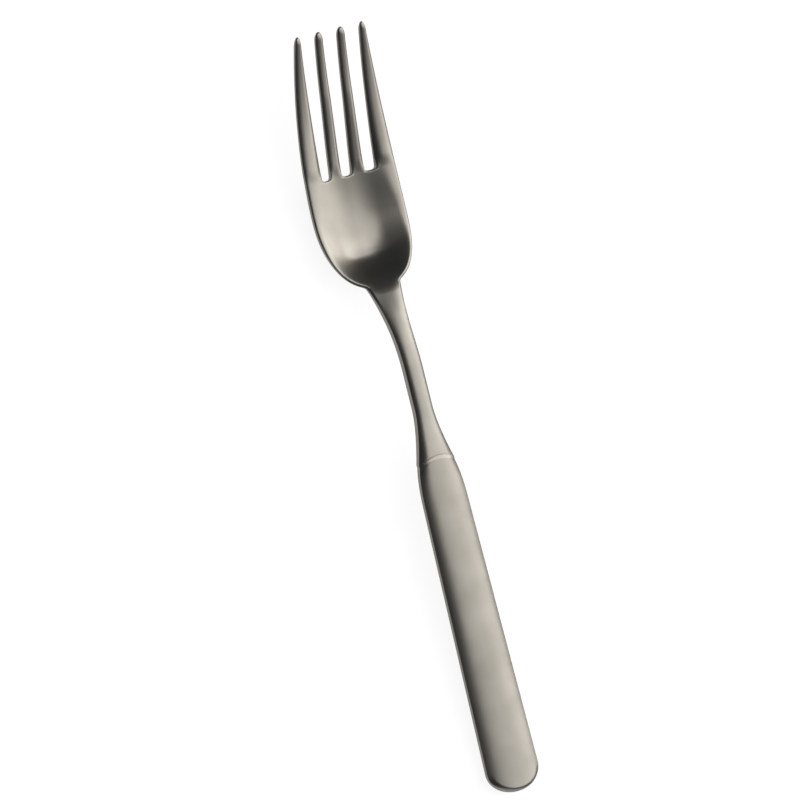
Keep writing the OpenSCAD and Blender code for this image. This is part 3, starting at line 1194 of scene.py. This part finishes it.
@dataclass(frozen=True)
class Softbox:
    """A large soft light that leans over the fork from above to the right.

    Its flat face stands at a distance and looks at the fork. Places on the face are in metres,
    across from left to right and along the fork, counted from the point in front of the fork's
    middle. The level eases in from the left and from the near end, rises once more towards the
    right and towards the far end, and eases out there. A level of 1 shows as white in metal.
    """

    lean_deg: float = 45.0
    distance: float = 1.1
    across: tuple[float, float] = (-3.96, 1.0)
    along: tuple[float, float] = (-0.70, 0.72)
    level: float = 1.4
    across_ramps: tuple[Ramp, ...] = (Ramp(-3.96, -1.76, 0.0, 1.0), Ramp(-1.0, 1.0, 0.64, 1.0))
    along_ramps: tuple[Ramp, ...] = (
        Ramp(-0.70, -0.32, 0.0, 1.0),
        Ramp(0.10, 0.32, 0.93, 1.45),
        Ramp(0.36, 0.72, 1.0, 0.0),
    )

    def hang(self) -> None:
        """Put the light into the scene, with its level worked out over its face."""
        data = bpy.data.lights.new("softbox", "AREA")
        data.shape = "RECTANGLE"
        data.size, data.size_y = self.across[1] - self.across[0], self.along[1] - self.along[0]
        data.energy = self.level * math.pi * data.size * data.size_y
        data.use_nodes = True
        tree = data.node_tree
        tree.nodes.clear()
        face = add_node(tree, "ShaderNodeNewGeometry").outputs["Parametric"]
        face = add_node(tree, "ShaderNodeSeparateXYZ", {0: face}).outputs
        share: Any = 1.0
        for side, ends, ramps in ((0, self.across, self.across_ramps), (1, self.along, self.along_ramps)):
            limits = {"Value": face[side], "To Min": ends[0], "To Max": ends[1]}
            place = add_node(tree, "ShaderNodeMapRange", limits).outputs["Result"]
            for ramp in ramps:
                both = {0: share, 1: ramp.add(tree, place)}
                share = add_node(tree, "ShaderNodeMath", both, operation="MULTIPLY").outputs[0]
        glow = add_node(tree, "ShaderNodeEmission", {"Strength": share})
        add_node(tree, "ShaderNodeOutputLight", {"Surface": glow.outputs[0]})
        light = bpy.data.objects.new("softbox", data)
        lean = math.radians(self.lean_deg)
        forth = Vector((0.0, 1.0, 0.0))
        back = Vector((math.sin(lean), 0.0, math.cos(lean)))
        right = forth.cross(back)
        place = back * self.distance + right * sum(self.across) / 2.0 + forth * sum(self.along) / 2.0
        light.matrix_world = stance(place, right, forth, back)
        light.visible_camera = False
        bpy.context.scene.collection.objects.link(light)


@dataclass(frozen=True)
class Studio:
    """Pale floor, soft light from above and from the right, and the camera of the photograph.

    Distances are in metres. The camera's framing is given by its scale at the fork and by the
    pixel at which the aim lies in the image.
    """

    # Camera
    roll_deg: float = 24.60
    pitch_deg: float = 1.36
    turn_deg: float = 15.87
    distance: float = 2.8
    pixels_per_mm: float = 3.27
    centre_px: tuple[float, float] = (417.5, 413.0)
    aim: tuple[float, float, float] = (0.0, 0.0, 0.008)
    image_px: float = 800.0
    sensor_mm: float = 36.0
    clip_end: float = 20.0

    # Floor, a hair below the fork: its glow to the camera, and to metal from left to right
    floor_half: float = 4.0
    floor_drop: float = 5e-5
    paper: str = "#b4b4b2"
    white: str = "#ffffff"
    glow: float = 0.88
    metal_glow: float = 0.28
    metal_ramp: Ramp = Ramp(-0.01, 0.03, 1.0, 0.2)

    # Room, by direction from the near side to the far side, and the light
    room_tint: str = "#dcecff"
    room: Ramp = Ramp(-0.95, -0.7, 0.4, 0.03)
    softbox: Softbox = Softbox()

    def camera(self) -> None:
        """Set the camera above the left side, turned so that the fork leans in the image."""
        roll, pitch, turn = (math.radians(a) for a in (self.roll_deg, self.pitch_deg, self.turn_deg))
        back = Vector((-math.sin(roll) * math.cos(pitch), -math.sin(pitch), math.cos(roll) * math.cos(pitch)))
        up = Vector((0.0, 1.0, 0.0))
        up = (up - back * up.dot(back)).normalized()
        right = up.cross(back)
        right, up = right * math.cos(turn) - up * math.sin(turn), right * math.sin(turn) + up * math.cos(turn)
        shift_x = (self.image_px / 2.0 - self.centre_px[0]) / self.pixels_per_mm * MM
        shift_y = (self.centre_px[1] - self.image_px / 2.0) / self.pixels_per_mm * MM
        data = bpy.data.cameras.new("photo_camera")
        data.sensor_width = self.sensor_mm
        data.lens = self.pixels_per_mm / MM * self.distance / self.image_px * self.sensor_mm
        data.clip_end = self.clip_end
        camera = bpy.data.objects.new("photo_camera", data)
        place = Vector(self.aim) + back * self.distance + right * shift_x + up * shift_y
        camera.matrix_world = stance(place, right, up, back)
        bpy.context.scene.collection.objects.link(camera)
        bpy.context.scene.camera = camera

    def floor(self) -> None:
        """Lay a matt floor that keeps the fork's shadow.

        To the camera it glows nearly white. Metal sees it dimmer, and dimmer still on the right.
        """
        material, tree = new_material("white_paper")
        path = add_node(tree, "ShaderNodeLightPath").outputs
        place = add_node(tree, "ShaderNodeTexCoord").outputs["Object"]
        place = add_node(tree, "ShaderNodeSeparateXYZ", {0: place}).outputs["X"]
        metal: Any = self.metal_glow
        for share in (path["Is Glossy Ray"], self.metal_ramp.add(tree, place)):
            metal = add_node(tree, "ShaderNodeMath", {0: share, 1: metal}, operation="MULTIPLY").outputs[0]
        seen = {0: path["Is Camera Ray"], 1: self.glow, 2: metal}
        glow = add_node(tree, "ShaderNodeMath", seen, operation="MULTIPLY_ADD").outputs[0]
        look = {
            "Base Color": linear(self.paper),
            "Roughness": 1.0,
            "Specular IOR Level": 0.0,
            "Emission Color": linear(self.white),
            "Emission Strength": glow,
        }
        shader = add_node(tree, "ShaderNodeBsdfPrincipled", look)
        add_node(tree, "ShaderNodeOutputMaterial", {"Surface": shader.outputs["BSDF"]})
        mesh = bpy.data.meshes.new("floor")
        half, low = self.floor_half, -self.floor_drop
        corners = [(-half, -half, low), (half, -half, low), (half, half, low), (-half, half, low)]
        mesh.from_pydata(corners, [], [(0, 1, 2, 3)])
        mesh.materials.append(material)
        floor = bpy.data.objects.new("floor", mesh)
        bpy.context.scene.collection.objects.link(floor)

    def world(self) -> None:
        """Make the room white for the camera, dim for the fork, and lighter low on the near side."""
        world = bpy.data.worlds.new("studio")
        bpy.context.scene.world = world
        world.use_nodes = True
        tree = world.node_tree
        tree.nodes.clear()
        seen = add_node(tree, "ShaderNodeLightPath").outputs["Is Camera Ray"]
        towards = add_node(tree, "ShaderNodeTexCoord").outputs["Generated"]
        towards = add_node(tree, "ShaderNodeSeparateXYZ", {0: towards}).outputs["Y"]
        dim = {"Color": linear(self.room_tint), "Strength": self.room.add(tree, towards)}
        room = add_node(tree, "ShaderNodeBackground", dim).outputs[0]
        bright = {"Color": linear(self.white), "Strength": 1.0}
        white = add_node(tree, "ShaderNodeBackground", bright).outputs[0]
        both = add_node(tree, "ShaderNodeMixShader", {0: seen, 1: room, 2: white}).outputs[0]
        add_node(tree, "ShaderNodeOutputWorld", {"Surface": both})

    def build(self) -> None:
        """Set up camera, floor, light and room."""
        bpy.context.scene.view_settings.view_transform = "Standard"
        self.camera()
        self.floor()
        self.softbox.hang()
        self.world()


def main() -> None:
    """Build the studio and the fork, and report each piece."""
    logging.basicConfig(level=logging.INFO, format="%(name)s: %(message)s")
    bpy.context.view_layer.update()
    Studio().build()
    section, mouth = BarSection(), Mouth()
    land = frame["record"]["mounts"][0]
    rest = Rest.on_land(land, -Handle.length / 2.0, Handle.ground - mouth.back)
    for assembly in (ForkHead(rest, section, mouth), Handle(rest, section, mouth)):
        for piece in assembly.make():
            log.info("%s: %d faces", piece.name, len(piece.data.polygons))


if __name__ == "__main__":
    main()
